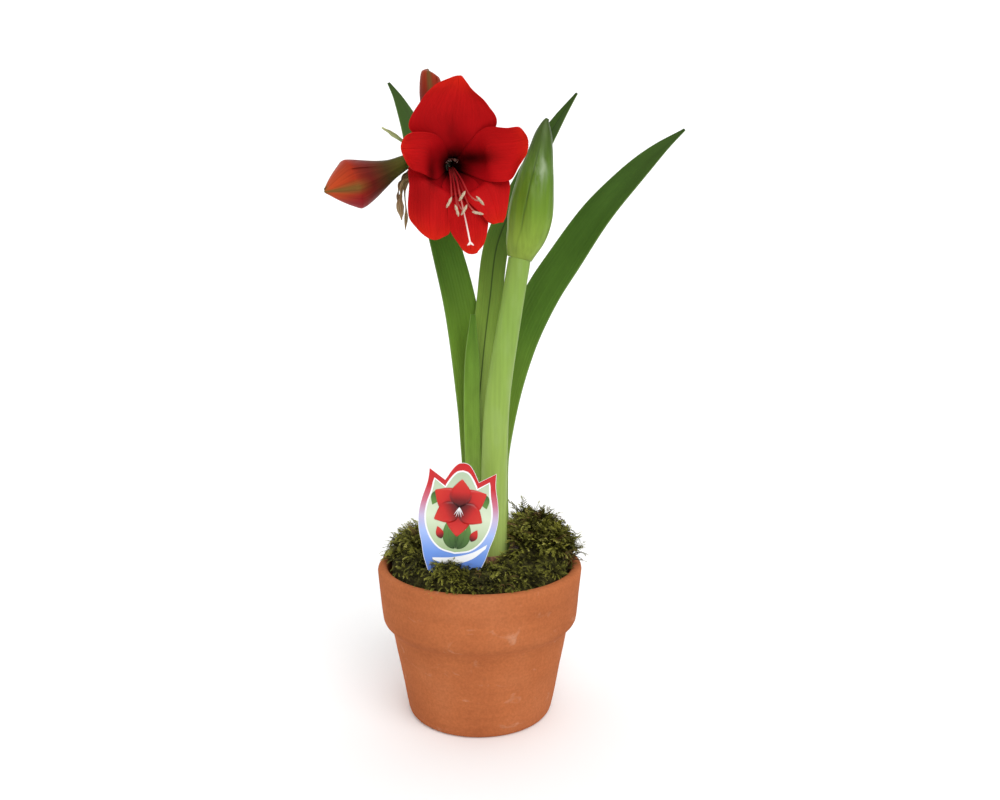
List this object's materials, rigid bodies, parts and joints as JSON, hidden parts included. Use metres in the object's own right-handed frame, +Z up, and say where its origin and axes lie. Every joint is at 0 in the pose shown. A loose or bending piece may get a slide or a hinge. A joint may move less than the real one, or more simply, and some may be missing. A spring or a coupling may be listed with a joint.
{
  "type": "potted amaryllis",
  "caption": "Amaryllis in a collared terracotta pot, with one open red bloom, opening blooms, a closed bud on its own stalk, strap leaves, moss and a plant tag.",
  "frame": {"origin": "on the floor, under the middle of the whole plant's footprint", "axes": "+Z up, -Y towards the side that the open bloom faces, +X to the right of someone who looks at that bloom"},
  "size_m": [0.2874, 0.1736, 0.5343],
  "materials": {
    "terracotta": "unglazed, matte, faintly salt-marked",
    "potting_soil": "crumbly, matte",
    "moss": "shaggy, matte",
    "bulb_tunic": "papery, matte",
    "leaf": "waxy, satin",
    "stalk": "smooth, satin",
    "bud": "smooth, satin",
    "petal": "velvety",
    "opening_petal": "velvety",
    "stamen": "matte",
    "dry_spathe": "papery, matte",
    "bracteole": "matte",
    "tag_card": "printed, satin"
  },
  "bodies": {
    "root": {"pot": "terracotta", "soil": "potting_soil", "moss": "moss", "bulb": "bulb_tunic", "leaf_left": "leaf", "leaf_short": "leaf", "leaf_centre": "leaf", "leaf_right": "leaf", "scape_bud": "stalk", "scape_open": "stalk", "bud": "bud", "bloom_front": "petal", "bloom_left": "opening_petal", "bloom_back": "opening_petal", "stamens_front": "stamen", "spathe_valve_left": "dry_spathe", "spathe_valve_back": "dry_spathe", "bracteole": "bracteole", "plant_tag": "tag_card"}
  },
  "joints": []
}
